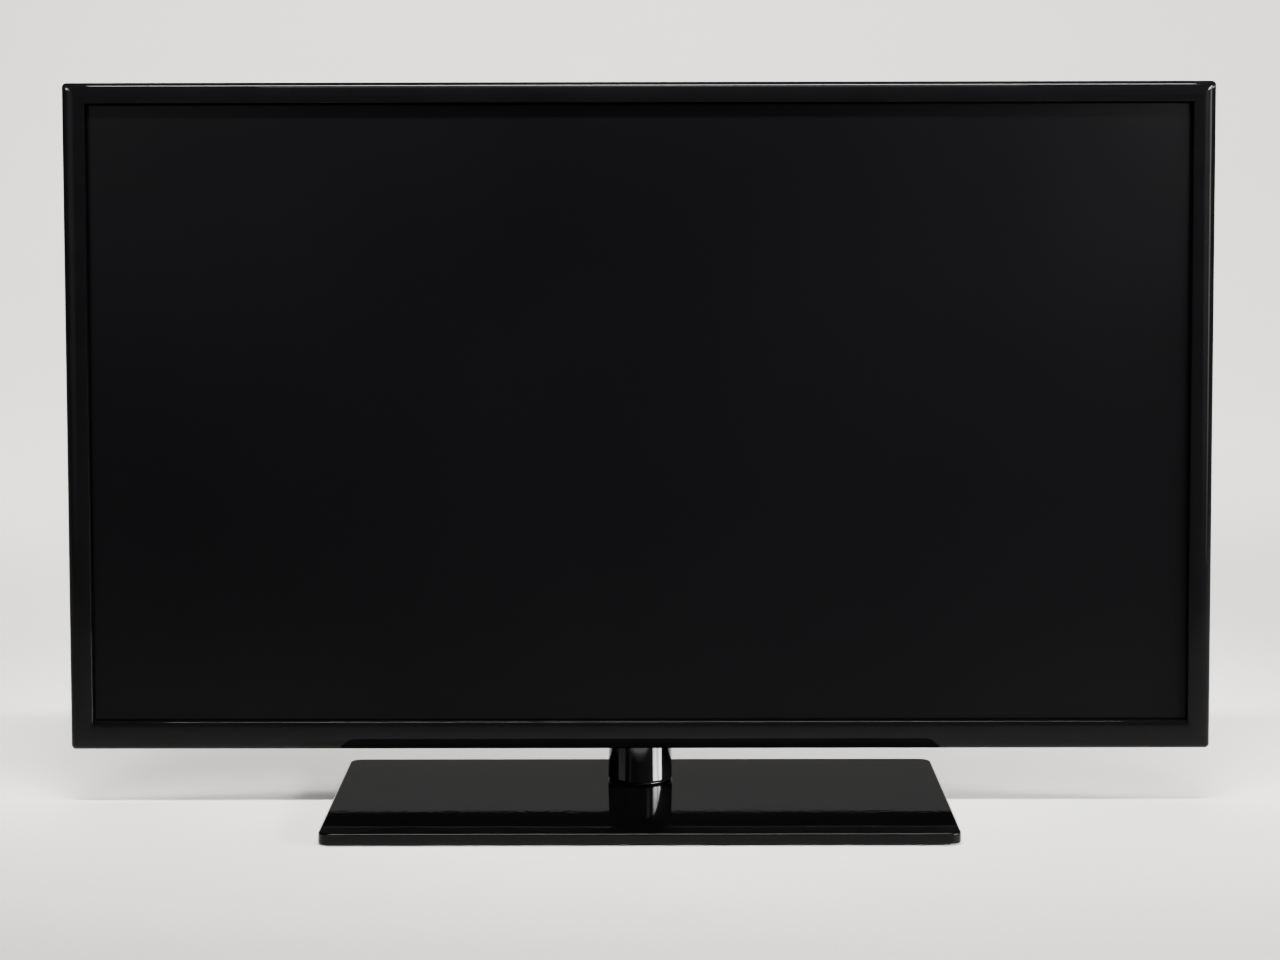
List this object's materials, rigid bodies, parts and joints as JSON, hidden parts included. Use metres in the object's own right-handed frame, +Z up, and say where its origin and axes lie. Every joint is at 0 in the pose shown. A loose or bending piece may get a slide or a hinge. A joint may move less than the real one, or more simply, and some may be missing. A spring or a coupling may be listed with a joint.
{
  "type": "flat screen tv",
  "caption": "Flat screen television with a gloss black picture-frame bezel on a round swivelling neck and a flat gloss base, with terminals, keys and wall-mount holes behind.",
  "frame": {"origin": "on the floor below the middle of the base, which is also the middle of the whole object", "axes": "+X to the viewer's right along the width, +Y away from the viewer, +Z up"},
  "size_m": [0.926, 0.24, 0.5861],
  "materials": {
    "gloss_black": "piano gloss",
    "key_black": "satin gloss",
    "screen_glass": "anti-glare",
    "matte_black": "fine spark texture",
    "smoked_lens": "smoked, clear to infrared",
    "foam": "soft foam strip",
    "dark_plastic": "moulded",
    "white_film": "diffusing white",
    "white_plastic": "moulded",
    "clear_lens": "clear",
    "sheet_steel": "galvanised",
    "bright_steel": "nickel plated",
    "black_steel": "black zinc",
    "cast_aluminium": "die cast",
    "aluminium": "extruded",
    "circuit_board": "solder resist",
    "winding": "taped winding",
    "brass": "turned",
    "paper_cone": "pressed pulp",
    "rubber": "matte"
  },
  "bodies": {
    "base": {"base_cover": "gloss_black", "base_plate": "sheet_steel", "base_screws": "bright_steel", "rubber_feet": "rubber", "swivel_washers": "white_plastic"},
    "set": {"front_bezel": "gloss_black", "neck": "gloss_black", "screen": "screen_glass", "rear_cover": "matte_black", "remote_window": "smoked_lens", "screen_gasket": "foam", "mid_frame": "dark_plastic", "main_chips": "dark_plastic", "headphone_jack": "dark_plastic", "av_jacks": "dark_plastic", "optical_port": "dark_plastic", "mains_inlet": "dark_plastic", "key_switches": "dark_plastic", "speakers": "dark_plastic", "power_capacitors": "dark_plastic", "optical_films": "white_film", "diffuser_plate": "white_film", "reflector_sheet": "white_film", "panel_cable": "white_film", "diffuser_posts": "white_plastic", "wire_harness": "white_plastic", "led_lenses": "clear_lens", "back_chassis": "sheet_steel", "stand_bracket": "sheet_steel", "hdmi_ports": "bright_steel", "usb_ports": "bright_steel", "antenna_jack": "bright_steel", "lan_port": "bright_steel", "board_screws": "bright_steel", "wall_posts": "bright_steel", "stand_screws": "bright_steel", "swivel_hub": "bright_steel", "swivel_retainer": "bright_steel", "swivel_screws": "bright_steel", "rear_screws": "black_steel", "neck_core": "cast_aluminium", "main_heatsink": "aluminium", "power_heatsinks": "aluminium", "led_bars": "aluminium", "main_board": "circuit_board", "power_board": "circuit_board", "tcon_board": "circuit_board", "remote_board": "circuit_board", "key_board": "circuit_board", "power_transformers": "winding", "board_standoffs": "brass", "speaker_cones": "paper_cone"},
    "key_power": {"key_power": "key_black"},
    "key_source": {"key_source": "key_black"},
    "key_menu": {"key_menu": "key_black"},
    "key_volume_up": {"key_volume_up": "key_black"},
    "key_volume_down": {"key_volume_down": "key_black"},
    "key_channel_up": {"key_channel_up": "key_black"},
    "key_channel_down": {"key_channel_down": "key_black"}
  },
  "joints": [
    {"name": "swivel", "type": "hinge", "parent": "base", "child": "set", "pos_m": [0, 0.056, 0.01], "axis": [0, 0, 1], "range_deg": [-20, 20]},
    {"name": "power_press", "type": "slide", "parent": "set", "child": "key_power", "axis": [0, -1, 0], "range_m": [0, 0.0008], "stiffness_N_per_m": 1500},
    {"name": "source_press", "type": "slide", "parent": "set", "child": "key_source", "axis": [0, -1, 0], "range_m": [0, 0.0008], "stiffness_N_per_m": 1500},
    {"name": "menu_press", "type": "slide", "parent": "set", "child": "key_menu", "axis": [0, -1, 0], "range_m": [0, 0.0008], "stiffness_N_per_m": 1500},
    {"name": "volume_up_press", "type": "slide", "parent": "set", "child": "key_volume_up", "axis": [0, -1, 0], "range_m": [0, 0.0008], "stiffness_N_per_m": 1500},
    {"name": "volume_down_press", "type": "slide", "parent": "set", "child": "key_volume_down", "axis": [0, -1, 0], "range_m": [0, 0.0008], "stiffness_N_per_m": 1500},
    {"name": "channel_up_press", "type": "slide", "parent": "set", "child": "key_channel_up", "axis": [0, -1, 0], "range_m": [0, 0.0008], "stiffness_N_per_m": 1500},
    {"name": "channel_down_press", "type": "slide", "parent": "set", "child": "key_channel_down", "axis": [0, -1, 0], "range_m": [0, 0.0008], "stiffness_N_per_m": 1500}
  ]
}
